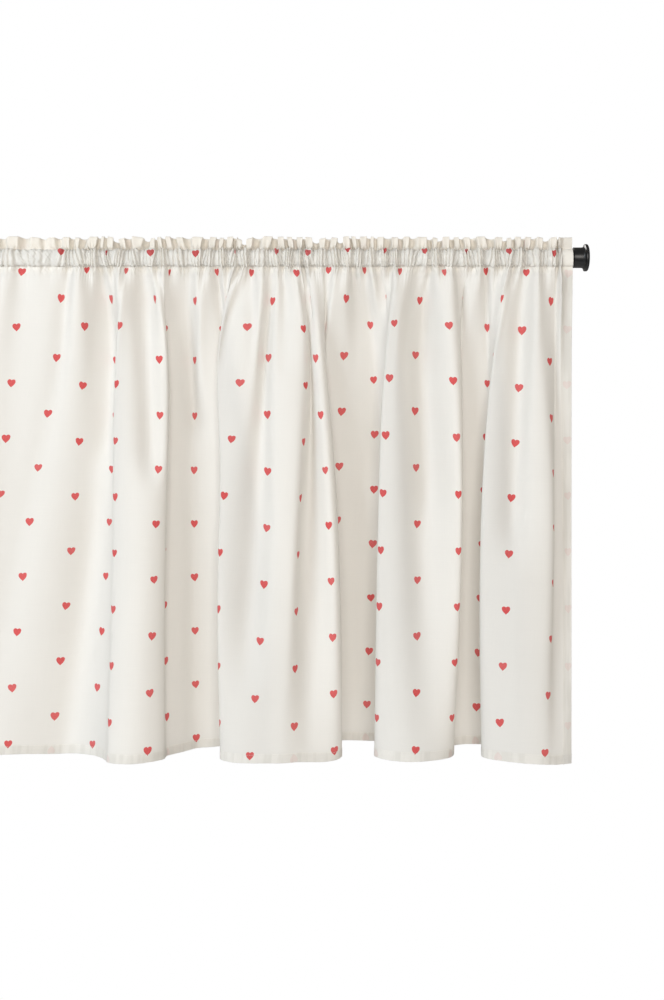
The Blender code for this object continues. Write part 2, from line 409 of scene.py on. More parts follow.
def bell(offset):
    """1 in the middle, and fading smoothly to either side."""
    return np.exp(-(offset**2))


def cloth_wave(swing, pitch, phase, second=0.0):
    """How far a wave of fixed cloth length pushes outwards, and how far it slides the cloth along."""
    size = pitch / np.pi
    push = bessel(1, swing) * size * (np.cos(phase) - second * np.cos(2 * phase))
    return np.array([push, bessel(2, swing) * size / 2 * np.sin(2 * phase)])


# The path of one warp thread, as rows. "warp" is the distance down the cloth from the lower stitch
# line, and is negative round the pocket and heading. "y" and "z" are its place with no folds, "lean"
# turns the gathers' direction up or down, and "rise" runs from 0 at the upper stitch line to 1 at the
# top of the heading. "drop" is the warp below the lower stitch line and 0 above it. "pocket" runs from
# -1 at the pocket's lower stitches to 1 at its upper ones. Rows with a positive y are behind the rod.
ROW = np.dtype([(name, float) for name in ("warp", "drop", "y", "z", "lean", "rise", "pocket")])
BACK_POCKET_ROWS = 9
FRONT_POCKET_ROWS = 14
BODY_FINE_DROPS = (1.6, 3.6, 6.2, 9.4, 13.2, 17.6, 22.6, 28.0)
BODY_ROWS = 80
BODY_COLUMNS = 346
COLUMN_STEP = 4.0
HEM_STEPS = (0.35, 1.2, 4.0, 7.0, 9.0, 10.0)
EDGE_STEPS = (0.35, 1.2, 4.5, 8.5, 11.2, 12.4)
HEADING_PATH = (
    # rise, y, z above the upper stitch
    (0.10, 0.75, 1.2),
    (0.24, 1.35, 3.4),
    (0.42, 1.75, 6.3),
    (0.60, 1.85, 9.2),
    (0.78, 1.70, 12.0),
    (0.92, 1.15, 14.3),
    (0.985, 0.55, 15.1),
)
HEADING_CREST = 15.45


# How full the pocket is between its middle and a stitch line: under 1 is fuller than round.
POCKET_ROUND = 0.85
POCKET_FULL = 0.65
POCKET_LEAN = 0.9


def pocket_row(turn, side):
    """One row of the pocket, behind the rod (side 1) or in front (side -1).

    turn runs from -90 degrees at the lower stitch line to 90 at the upper.
    """
    middle = (UPPER_STITCH + STITCH_LINE) / 2
    half = (UPPER_STITCH - STITCH_LINE) / 2
    bulge = max(math.cos(turn), 0.0) ** (POCKET_ROUND if side > 0 or turn < 0 else POCKET_FULL)
    foot = LAYER_GAP / 2 if turn > 0 else (POCKET_FOOT if side < 0 else LAYER_GAP - POCKET_FOOT)
    y = foot + (POCKET_FRONT - foot) * bulge
    share = turn / math.pi + 0.5
    warp = -POCKET_CLOTH * share
    if side > 0:
        warp = -POCKET_CLOTH - 2 * HEADING_CLOTH - POCKET_CLOTH * (1 - share)
    lean = POCKET_LEAN * turn * math.sqrt(max(math.cos(turn), 0.0)) if side < 0 else 0.0
    return (warp, 0.0, side * y, middle + half * math.sin(turn), lean, 0.0, share * 2 - 1)


def heading_row(rise, y, up, side):
    """One row of the heading, behind its middle (side 1) or in front (side -1)."""
    warp = -POCKET_CLOTH - HEADING_CLOTH * rise
    if side > 0:
        warp = -POCKET_CLOTH - HEADING_CLOTH * (2 - rise)
    return (warp, 0.0, side * y, UPPER_STITCH + up, 0.0, rise, 1.0)


def top_rows():
    """Rows from the back of the pocket over the heading and down to where the body's rows begin."""
    rows = []
    for i in range(BACK_POCKET_ROWS):
        turn = math.pi * (i / (BACK_POCKET_ROWS - 1) - 0.5)
        rows.append(pocket_row(turn, 1))
    rows += [heading_row(rise, y, up, 1) for rise, y, up in HEADING_PATH[::2]]
    rows.append(heading_row(1.0, 0.0, HEADING_CREST, -1))
    rows += [heading_row(rise, y, up, -1) for rise, y, up in reversed(HEADING_PATH)]
    for i in range(FRONT_POCKET_ROWS):
        turn = math.pi * (0.5 - i / (FRONT_POCKET_ROWS - 1))
        rows.append(pocket_row(turn, -1))
    rows += [body_row(drop) for drop in BODY_FINE_DROPS]
    return np.array(rows, ROW)


def body_row(drop):
    """One row below the pocket, which hangs forward at its top."""
    forward = LAYER_GAP / 2 + (POCKET_FOOT - LAYER_GAP / 2) * bell(drop / FOOT_REACH)
    return (drop, drop, -forward, STITCH_LINE - drop, 0.0, 0.0, -1.0)


def body_rows():
    """Rows from just below the gathers to the fold of the hem, closer together at the hem."""
    last = HEM_DROP - HEM_STEPS[-1]
    even = np.linspace(BODY_FINE_DROPS[-1], last - 1.5, BODY_ROWS)[1:]
    hem = [HEM_DROP - step for step in reversed(HEM_STEPS)] + [HEM_DROP]
    return np.array([body_row(drop) for drop in [*even, *hem]], ROW)


def cloth_columns(split):
    """Places across the finished width, closer together at the side hems, each gap split further."""
    edge = np.array((0.0, *EDGE_STEPS, SIDE_HEM + 1.5))
    first = edge[-1] + COLUMN_STEP
    middle = np.linspace(first, CLOTH_WIDTH - first, BODY_COLUMNS)
    places = np.concatenate([edge, middle, (CLOTH_WIDTH - edge)[::-1]])
    at = np.arange((len(places) - 1) * split + 1) / split
    return np.interp(at, np.arange(len(places)), places)


TUCK_FLATTENING = 2.2


def tucked(x, cloth, warp):
    """Tucks: x with the cloth pinched together, how far each place sinks in, and how flat it lies."""
    sink = np.zeros_like(x)
    flat = np.zeros_like(x)
    for place, drop, half, reach, pinch, depth in TUCKS:
        spread = bell((cloth - place) / half)[None, :] * bell((warp - drop) / reach)[:, None]
        x = x - pinch * (cloth - place)[None, :] * spread
        sink += depth * spread
        flat += max(-pinch, 0.0) * TUCK_FLATTENING * spread
    return x, sink, np.clip(flat, 0, 1)


def crease_height(cloth, drop):
    """How far the creases stand out, by row and column."""
    total = np.zeros((len(drop), len(cloth)))
    for top_cloth, top, foot_cloth, foot, half, height in CREASES:
        along = (drop - top) / (foot - top)
        middle = top_cloth + (foot_cloth - top_cloth) * along
        fade = np.clip(np.minimum(along, 1 - along) * 4 + 0.25, 0, 1)
        fade = fade**2 * (3 - 2 * fade)
        total += height * fade[:, None] * bell((cloth[None, :] - middle[:, None]) / half)
    return total


def petals(cloth):
    """How many of the heading's petals lie before each place, and how wide the one there is."""
    turn = spline(PETAL_VALLEYS, np.arange(len(PETAL_VALLEYS), dtype=float), cloth)
    return turn, np.clip(1 / np.gradient(turn, cloth), 14.0, 34.0)


def unhemmed(cloth):
    """1 over the body and 0 over the side hems, which lie flat."""
    return np.clip((np.minimum(cloth, CLOTH_WIDTH - cloth) - SIDE_HEM + 4) / 10, 0.12, 1)


PLEAT_PITCH = 9.0
RUFFLE_PITCH = 110.0 / 3
RUFFLE_CREST = 459.0


def gather_waves(cloth, rows, ratio):
    """The gathers' push outwards, straight forwards and along the cloth, by row and column."""
    rise = rows["rise"][:, None]
    drop = rows["drop"][:, None]
    pocket = rows["pocket"][:, None]
    in_heading = rise > 0
    in_body = drop > 0
    angle = wave_angle(np.clip(ratio, 0.3, 1.0))
    total = np.zeros((2, *ratio.shape))

    # fine pleats, held by the stitches, each slanting its own way
    place = cloth + 3.6 * wander(11, 17, cloth) + 5.0 * wander(12, 60, cloth)
    slant = 4.4 * wander(13, 25, cloth) + 2.0 * wander(14, 12, cloth)
    phase = 2 * np.pi * place / PLEAT_PITCH + slant * np.where(in_heading, 1, np.clip(pocket, -1, 1))
    share = np.where(in_heading, 0.78 * np.exp(-rise / 0.24), 0.78)
    share = np.where(in_body, 0.56 * np.exp(-drop / 7.5), share)
    swing = angle * share * (1 + 0.40 * wander(15, 19, cloth)) * unhemmed(cloth)
    total += cloth_wave(swing, PLEAT_PITCH, phase, 0.30)

    # ruffles of the pocket, which run on a little way below it
    place = cloth - RUFFLE_CREST + 3.5 * wander(21, 37, cloth)
    phase = 2 * np.pi * place / RUFFLE_PITCH
    share = np.where(in_body, 0.44 * np.exp(-drop / 27), 0.25)
    share = np.where(in_heading, 0.0, share)
    swing = angle * share * (1 + 0.25 * wander(22, 40, cloth)) * unhemmed(cloth)
    total += cloth_wave(swing, RUFFLE_PITCH, phase)

    # petals of the heading
    turn, pitch = petals(cloth)
    phase = 2 * np.pi * (turn - 0.5) + 1.1 * wander(32, 33, cloth) * (rise - 0.4)
    share = np.where(in_heading, 1.05 * (1 - np.exp(-rise / 0.19)), 0.0)
    swing = angle * share * (1 + 0.18 * wander(33, 30, cloth)) * unhemmed(cloth)
    total += cloth_wave(swing, pitch, phase, 0.40)

    # soft gathers that lead into the folds
    turn = spline(GATHER_VALLEYS, np.arange(len(GATHER_VALLEYS), dtype=float), cloth)
    share = np.where(in_body, 0.36 * drop / 42 * np.exp(1 - drop / 42), 0.0)
    forward = cloth_wave(angle * share, 1 / np.gradient(turn, cloth), 2 * np.pi * (turn - 0.5))[0]
    return total[0], forward, total[1]


# Over the rod the gathers move outwards by the shift, and reach inwards no further than the limit.
OUTWARD_SHIFT = 0.8
INWARD_LIMIT = 1.3
LIMIT_SOFTNESS = 0.3


def held_off(push):
    """The gathers' push away from the rod, kept from reaching into it."""
    beyond = (push + OUTWARD_SHIFT + INWARD_LIMIT) / LIMIT_SOFTNESS
    return LIMIT_SOFTNESS * np.logaddexp(0, beyond) - INWARD_LIMIT


def sheet_points(cloth, rows):
    """The front sheet's points, rows by columns, in millimetres."""
    warp = rows["warp"]
    drop = rows["drop"]
    x, depth = fold_places(cloth, drop)
    along = np.gradient(x, cloth, axis=1)
    away = np.gradient(depth, cloth, axis=1)
    ratio = np.hypot(along, away)
    tangent_x, tangent_y = along / ratio, away / ratio
    front = warp >= -POCKET_CLOTH - HEADING_CLOTH
    x, sink, flat = tucked(x, cloth, np.where(front, warp, -1000.0))
    push, forward, slide = gather_waves(cloth, rows, ratio)
    forward *= np.clip((along - 0.15) / 0.3, 0, 1)
    push = push * (1 - flat) - sink + hem_relief(cloth, drop)
    over_rod = np.abs(rows["pocket"][:, None]) < 0.9
    outwards = np.where(rows["y"][:, None] > 0, -1.0, 1.0)
    push = np.where(over_rod, outwards * held_off(outwards * push), push)
    forward += crease_height(cloth, drop)
    lean = rows["lean"][:, None]
    out_y, out_z = -np.cos(lean), np.sin(lean)
    y = rows["y"][:, None] + depth - forward + tangent_y * slide + push * out_y * tangent_x
    x = x + tangent_x * slide - push * out_y * tangent_y
    z = rows["z"][:, None] + push * out_z - hem_sag(cloth, drop)
    z, x = heading_edge(cloth, rows["rise"][:, None], x, z)
    return np.stack([x, y, z], axis=2)


def print_lead(cloth, warp):
    """How far the print runs ahead at each row and column."""
    leads = np.array(PRINT_LEADS, float)
    columns = np.array([np.interp(cloth, leads[:, 0], lead) for lead in leads[:, 1:].T])
    return spline(LEAD_WARPS, columns, np.clip(warp, LEAD_WARPS[0], LEAD_WARPS[-1]))


FINE_WRINKLES = 0.96
MOST_STRETCH = 1.5


def print_stretch(cloth, drop):
    """How much wider each place's print has to be, where the folds leave out the finest wrinkles."""
    x, depth = fold_places(cloth, drop)
    ratio = np.hypot(np.gradient(x, cloth, axis=1), np.gradient(depth, cloth, axis=1))
    hanging = np.clip((drop[:, None] - 12) / 45, 0, 1)
    return 1 + hanging * (np.clip(FINE_WRINKLES / ratio, 1.0, MOST_STRETCH) - 1)


def hem_sag(cloth, drop):
    """How far the hem hangs below its straight line where the cloth is slack."""
    sag = sum(depth * bell((cloth - place) / half) for place, half, depth in HEM_SAGS)
    return (drop[:, None] / HEM_DROP) ** 3 * sag[None, :]


def hem_relief(cloth, drop):
    """The bottom hem stands out a little from the body, drawn in and puckered by its stitches."""
    up = HEM_DROP - drop[:, None]
    band = 1 / (1 + np.exp((up - BOTTOM_HEM) / 0.5))
    seam = bell((up - BOTTOM_HEM + 1.6) / 1.1)
    near = np.exp(-np.maximum(up - 2, 0) / 9.0)
    pucker = 0.55 * wander(41, 5.5, cloth) + 0.45 * wander(42, 14, cloth)
    return 0.45 * band - 0.35 * seam + 0.65 * near * pucker[None, :]


def heading_edge(cloth, rise, x, z):
    """The heading leans this way and that, and its top edge dips between the petals."""
    dip = 0.6 + 0.7 * wander(51, 27, cloth) + 0.4 * wander(52, 11, cloth)
    dip = dip + 1.5 * (0.5 + 0.5 * np.cos(2 * np.pi * petals(cloth)[0])) ** 2 * unhemmed(cloth)
    for place, half, depth in NOTCHES:
        dip = dip + depth * bell((cloth - place) / half)
    z = z - np.maximum(dip, 0)[None, :] * rise**1.5
    x = x + rise**1.3 * (1.8 * wander(53, 38, cloth))[None, :]
    return z, x


def surface_normals(points):
    """Unit normals of a grid of points, on the printed side of the cloth."""
    down = np.gradient(points, axis=0)
    across = np.gradient(points, axis=1)
    normal = np.cross(down, across)
    return normal / np.linalg.norm(normal, axis=2, keepdims=True)


def turned_under(places, steps, last):
    """Indices, gaps and places of the cloth turned under beyond the first or the last of the places."""
    count = len(places)
    order = np.arange(count - 2, count - 2 - steps, -1) if last else np.arange(steps, 0, -1)
    edge = places[-1 if last else 0]
    gaps = TURNED_GAP * (1 - np.exp(-np.abs(places[order] - edge) / 0.35))
    return order, gaps, 2 * edge - places[order]


def with_hems(points, cloth, warp, split, bottom):
    """Adds the side hems, and the bottom hem where bottom is set, behind a grid of points."""
    normal = surface_normals(points)
    steps = len(EDGE_STEPS) * split
    middle = (np.arange(len(cloth)), np.zeros(len(cloth)), cloth)
    sides = (turned_under(cloth, steps, False), middle, turned_under(cloth, steps, True))
    columns, gaps, places = (np.concatenate(parts) for parts in zip(*sides))
    body = (np.arange(len(warp)), np.zeros(len(warp)), warp)
    hems = (body, turned_under(warp, len(HEM_STEPS), True)) if bottom else (body,)
    rows, row_gaps, row_places = (np.concatenate(parts) for parts in zip(*hems))
    gap = gaps[None, :] + row_gaps[:, None]
    picked = points[rows][:, columns] - gap[:, :, None] * normal[rows][:, columns]
    return picked, places, row_places


def grid_faces(first, rows, columns):
    """Quads over a grid of vertices, wound so that the printed side faces out."""
    corner = first + np.arange(rows - 1)[:, None] * columns + np.arange(columns - 1)[None, :]
    corner = corner.ravel()
    return np.stack([corner, corner + columns, corner + columns + 1, corner + 1], axis=1)


def new_object(name, data):
    obj = bpy.data.objects.new(name, data)
    bpy.context.scene.collection.objects.link(obj)
    return obj


COLUMN_SPLIT = 4


def joined_faces(fine, coarse):
    """Faces of the fine grid, the coarse grid below it, and the strip that joins them."""
    fine_count = fine[0] * fine[1]
    faces = grid_faces(0, *fine).tolist() + grid_faces(fine_count, *coarse).tolist()
    for i in range(coarse[1] - 1):
        top = fine_count - fine[1] + i * COLUMN_SPLIT
        fan = [top + COLUMN_SPLIT - k for k in range(COLUMN_SPLIT)]
        faces.append([top, fine_count + i, fine_count + i + 1, *fan])
    return faces


def print_maps(u, v):
    """Each place on the cloth, its place in the print, and how far its print is widened."""
    across, down = np.meshgrid(u, v)
    near_u, near_v = np.clip(u, 0, CLOTH_WIDTH), np.minimum(v, HEM_DROP)
    places = np.stack([across, down], axis=2).reshape(-1, 2)
    prints = np.stack([across, down + print_lead(near_u, near_v)], axis=2).reshape(-1, 2)
    return places, prints, print_stretch(near_u, np.maximum(near_v, 0)).ravel()


def build_panel_mesh():
    """One sheet: finely split rows over the pocket and heading, and wider ones down the body."""
    fine_rows, fine_cloth = top_rows(), cloth_columns(COLUMN_SPLIT)
    rows, cloth = np.concatenate([fine_rows[-1:], body_rows()]), cloth_columns(1)
    fine, coarse = sheet_points(fine_cloth, fine_rows), sheet_points(cloth, rows)
    fine, fine_u, fine_v = with_hems(fine, fine_cloth, fine_rows["warp"], COLUMN_SPLIT, False)
    coarse, coarse_u, coarse_v = with_hems(coarse, cloth, rows["warp"], 1, True)
    coarse, coarse_v = coarse[1:], coarse_v[1:]
    points = np.concatenate([fine.reshape(-1, 3), coarse.reshape(-1, 3)]) * MM
    mesh = bpy.data.meshes.new("printed_panel")
    mesh.from_pydata(points.tolist(), [], joined_faces(fine.shape[:2], coarse.shape[:2]))
    mesh.shade_smooth()
    maps = zip(print_maps(fine_u, fine_v), print_maps(coarse_u, coarse_v))
    places, prints, stretches = (np.concatenate(parts) for parts in maps)
    corners = np.zeros(len(mesh.loops), np.int32)
    mesh.loops.foreach_get("vertex_index", corners)
    for name, values in (("cloth_place", places), ("print_place", prints)):
        uv = mesh.uv_layers.new(name=name)
        uv.data.foreach_set("uv", (values[corners] * MM).astype(np.float32).ravel())
    stretch = mesh.attributes.new("print_stretch", "FLOAT", "POINT")
    stretch.data.foreach_set("value", stretches.astype(np.float32))
    mesh.update()
    return mesh


class Nodes:
    """A small helper that adds nodes to a tree and links them."""

    def __init__(self, tree):
        self.tree = tree
        self.column = 0

    def add(self, kind, **settings):
        node = self.tree.nodes.new(kind)
        self.column += 1
        node.location = (self.column * 180.0, -(self.column % 4) * 60.0)
        for key, value in settings.items():
            setattr(node, key, value)
        return node

    def feed(self, socket, value):
        if isinstance(value, bpy.types.NodeSocket):
            self.tree.links.new(value, socket)
        elif value is not None:
            socket.default_value = value

    def math(self, operation, *values, clamp=False):
        node = self.add("ShaderNodeMath", operation=operation, use_clamp=clamp)
        for socket, value in zip(node.inputs, values):
            self.feed(socket, value)
        return node.outputs[0]

    def plus(self, first, second):
        return self.math("ADD", first, second)

    def minus(self, first, second):
        return self.math("SUBTRACT", first, second)

    def times(self, first, second, clamp=False):
        return self.math("MULTIPLY", first, second, clamp=clamp)

    def over(self, first, second):
        return self.math("DIVIDE", first, second)

    def line(self, value, slope, start):
        """start plus slope for each unit of value."""
        return self.math("MULTIPLY_ADD", value, slope, start)

    def give(self, node, **values):
        """Feeds inputs, each the first with that label, in lower case and with underscores."""
        sockets = reversed(list(node.inputs))
        labels = {socket.name.lower().replace(" ", "_"): socket for socket in sockets}
        for key, value in values.items():
            self.feed(labels[key], value)
        return node

    def vector(self, *parts):
        node = self.add("ShaderNodeCombineXYZ")
        for socket, value in zip(node.inputs, parts):
            self.feed(socket, value)
        return node.outputs[0]

    def split(self, place):
        """The three parts of a place."""
        return self.give(self.add("ShaderNodeSeparateXYZ"), vector=place).outputs

    def ramp(self, value, low, high, start=0.0, stop=1.0):
        """start to stop as value goes smoothly from low to high."""
        node = self.add("ShaderNodeMapRange", interpolation_type="SMOOTHSTEP")
        for socket, given in zip(node.inputs, (value, low, high, start, stop)):
            self.feed(socket, given)
        return node.outputs[0]

    def mix(self, factor, first, second, blend="MIX"):
        node = self.add("ShaderNodeMix", data_type="RGBA", blend_type=blend)
        for index, value in ((0, factor), (6, first), (7, second)):
            self.feed(node.inputs[index], value)
        return node.outputs[2]

    def noise(self, place, scale, detail=2.0, roughness=0.5):
        node = self.add("ShaderNodeTexNoise")
        self.give(node, vector=place, scale=scale, detail=detail, roughness=roughness)
        return node.outputs["Fac"]

    def group(self, tree, **values):
        return self.give(self.add("ShaderNodeGroup", node_tree=tree), **values).outputs


def new_group(name, inputs, outputs, kind="ShaderNodeTree"):
    """A node group, and its helper, input and output nodes. A number is a socket's default value."""
    tree = bpy.data.node_groups.new(name, kind)
    for label, value in inputs.items():
        given = isinstance(value, float)
        socket_kind = "NodeSocketFloat" if given else "NodeSocket" + value
        socket = tree.interface.new_socket(name=label, in_out="INPUT", socket_type=socket_kind)
        if given:
            socket.default_value = value
    for label, value in outputs.items():
        tree.interface.new_socket(name=label, in_out="OUTPUT", socket_type="NodeSocket" + value)
    nodes = Nodes(tree)
    return tree, nodes, nodes.add("NodeGroupInput").outputs, nodes.add("NodeGroupOutput").inputs


HEART_RATIO = 1.155


def heart_repeat_group():
    """A mask of small hearts in half-drop columns, each tilted and sized a little unlike the next."""
    tree, n, given, result = new_group(
        "heart_repeat",
        {
            "Place": "Vector",
            "Column Pitch": 0.055,
            "Row Pitch": 0.064,
            "Width": 0.009,
            "Height": 0.009,
            "Widen": 1.0,
            "Lengthen": 1.0,
        },
        {"Mask": "Float", "Tone": "Float"},
    )
    place = n.split(given["Place"])
    across = n.minus(place[0], PRINT_COLUMN * MM)
    column = n.math("ROUND", n.over(across, given["Column Pitch"]))
    x = n.minus(across, n.times(column, given["Column Pitch"]))
    half_drop = n.times(n.times(n.math("FLOORED_MODULO", column, 2.0), 0.5), given["Row Pitch"])
    down = n.minus(n.minus(place[1], PRINT_ROW * MM), half_drop)
    row = n.math("ROUND", n.over(down, given["Row Pitch"]))
    y = n.minus(n.times(row, given["Row Pitch"]), down)
    chance = n.give(n.add("ShaderNodeTexWhiteNoise", noise_dimensions="2D"), vector=n.vector(column, row))
    chances = n.give(n.add("ShaderNodeSeparateColor"), color=chance.outputs["Color"]).outputs
    tilt = n.line(chances[0], 0.30, -0.15)
    size = n.line(chances[1], 0.10, 0.95)
    x = n.over(x, given["Widen"])
    y = n.over(y, given["Lengthen"])
    half_width = n.times(n.times(given["Width"], 0.5), size)
    half_height = n.times(n.times(given["Height"], 0.5 / HEART_RATIO), size)
    side = n.math("ABSOLUTE", n.over(n.minus(x, n.times(y, tilt)), half_width))
    lift = n.line(n.math("POWER", side, 0.60), -0.72, 0.20)
    up = n.plus(n.over(n.plus(y, n.times(x, tilt)), half_height), lift)
    radius = n.math("SQRT", n.plus(n.math("POWER", side, 2.0), n.times(up, up)))
    edge = n.plus(radius, n.line(n.noise(given["Place"], 900.0), 0.16, -0.08))
    n.feed(result["Mask"], n.ramp(edge, 0.97, 1.03, 1.0, 0.0))
    n.feed(result["Tone"], chances[2])
    return tree


def plain_weave_group():
    """The raised threads of a plain weave, and the slow change of tone along slubby yarn."""
    tree, n, given, result = new_group(
        "plain_weave", {"Place": "Vector", "Pitch": 0.00045}, {"Height": "Float", "Tone": "Float"}
    )
    place = n.split(given["Place"])
    waves = [n.math("SINE", n.times(n.over(place[axis], given["Pitch"]), math.pi)) for axis in (0, 1)]
    slubs = []
    for sizes in ((1400.0, 22.0, 1.0), (22.0, 1400.0, 1.0)):
        stretched = n.give(n.add("ShaderNodeMapping"), vector=given["Place"], scale=sizes)
        slubs.append(n.noise(stretched.outputs[0], 1.0, 2.0, 0.6))
    slub = n.plus(*slubs)
    bumps = n.times(n.math("ABSOLUTE", n.times(*waves)), 0.6)
    n.feed(result["Height"], n.plus(bumps, slub))
    n.feed(result["Tone"], n.times(slub, 0.5))
    return tree


def gather_creases_group():
    """Thin creases that run up and down gathered cloth, some leaning left and some right."""
    tree, n, given, result = new_group("gather_creases", {"Place": "Vector"}, {"Height": "Float"})
    place = n.split(given["Place"])
    heights = []
    for lean, scale in ((0.75, 125.0), (-0.90, 170.0)):
        sheared = n.vector(n.line(place[1], lean, place[0]), n.times(place[1], 0.28), lean)
        ridge = n.math("ABSOLUTE", n.minus(n.noise(sheared, scale, 1.5), 0.5))
        heights.append(n.math("POWER", n.times(ridge, 8.0, clamp=True), 0.6))
    n.feed(result["Height"], n.plus(*heights))
    return tree


def fine_wear_group():
    """Fine mottling and small scuffs for a finished metal or lacquer."""
    tree, n, given, result = new_group(
        "fine_wear",
        {"Place": "Vector", "Scale": 900.0, "Stretch": "Vector"},
        {"Grain": "Float", "Cloud": "Float"},
    )
    sized = n.add("ShaderNodeVectorMath", operation="MULTIPLY")
    n.feed(sized.inputs[0], given["Place"])
    n.feed(sized.inputs[1], given["Stretch"])
    n.feed(result["Grain"], n.noise(sized.outputs[0], given["Scale"]))
    n.feed(result["Cloud"], n.noise(given["Place"], 60.0, 3.0))
    return tree


def shared_group(name, build):
    """The named node group, built the first time that it is asked for."""
    return bpy.data.node_groups.get(name) or build()


def worn(n, scale, stretch=(1.0, 1.0, 1.0)):
    """Fine wear over the object's own space."""
    place = n.add("ShaderNodeTexCoord").outputs["Object"]
    wear = shared_group("fine_wear", fine_wear_group)
    return n.group(wear, place=place, scale=scale, stretch=stretch)


def shade(colour, *shares):
    """The colour times one share, or times one share for each channel, and opaque."""
    return (*(c * share for c, share in zip(colour, shares * 3)), 1.0)


def new_material(name):
    """A material with its node helper, its Principled shader and its output node."""
    material = bpy.data.materials.new(name)
    material.use_nodes = True
    nodes = material.node_tree.nodes
    return material, Nodes(material.node_tree), nodes["Principled BSDF"], nodes["Material Output"]


def bump(n, shader, height, strength, distance, under=None):
    """Bumps on the shader, on top of those under them."""
    node = n.add("ShaderNodeBump")
    n.give(node, height=height, strength=strength, distance=distance, normal=under)
    n.give(shader, normal=node.outputs[0])
    return node.outputs[0]


def cotton_colour_and_painted_light(n, settings, doubled, v, thread, place):
    """Undyed cotton, in a slightly other cream at the hems, in the pocket and in the heading, with painted
    light: the pocket, the cloth just below it and the heading are lightened to lift their shade.
    """
    cloth = settings.cloth_colour
    across = n.vector(n.split(place)[0], n.times(v, 0.12))
    streaks = n.ramp(n.noise(across, 130.0), 0.36, 0.60)
    turned = n.mix(streaks, shade(cloth, 0.98, 0.978, 0.965), shade(cloth, 1.055, 1.055, 1.05))
    colour = n.mix(doubled, shade(cloth, 1.0), turned)
    # Painted light: the pocket, and the body for 12 mm below its lower stitches, are lightened by about a
    # fifth and made a little creamier, to lift the shade of the pocket's rounded front and the shade under
    # it.
    colour = n.mix(n.ramp(v, 0.0, 0.012, 1.0, 0.0), colour, shade(cloth, 1.20, 1.188, 1.162))
    # Partly painted light: the heading is tinted creamier for its doubled cloth, and also lightened by
    # about a tenth to lift the shade between its petals.
    in_heading = n.ramp(v, -POCKET_CLOTH * MM, (1.0 - POCKET_CLOTH) * MM, 1.0, 0.0)
    colour = n.mix(in_heading, colour, shade(cloth, 1.12, 1.10, 1.065))
    tone = n.line(thread["Tone"], 0.07, 0.965)
    tone = n.times(tone, n.line(n.noise(place, 14.0, 4.0, 0.6), 0.04, 0.98))
    grey = n.give(n.add("ShaderNodeCombineColor"), red=tone, green=tone, blue=tone)
    return n.mix(1.0, colour, grey.outputs[0], "MULTIPLY")


HEM_PRINT_SHIFT = 19.0
GHOST = 0.10
SHEERNESS = 0.26


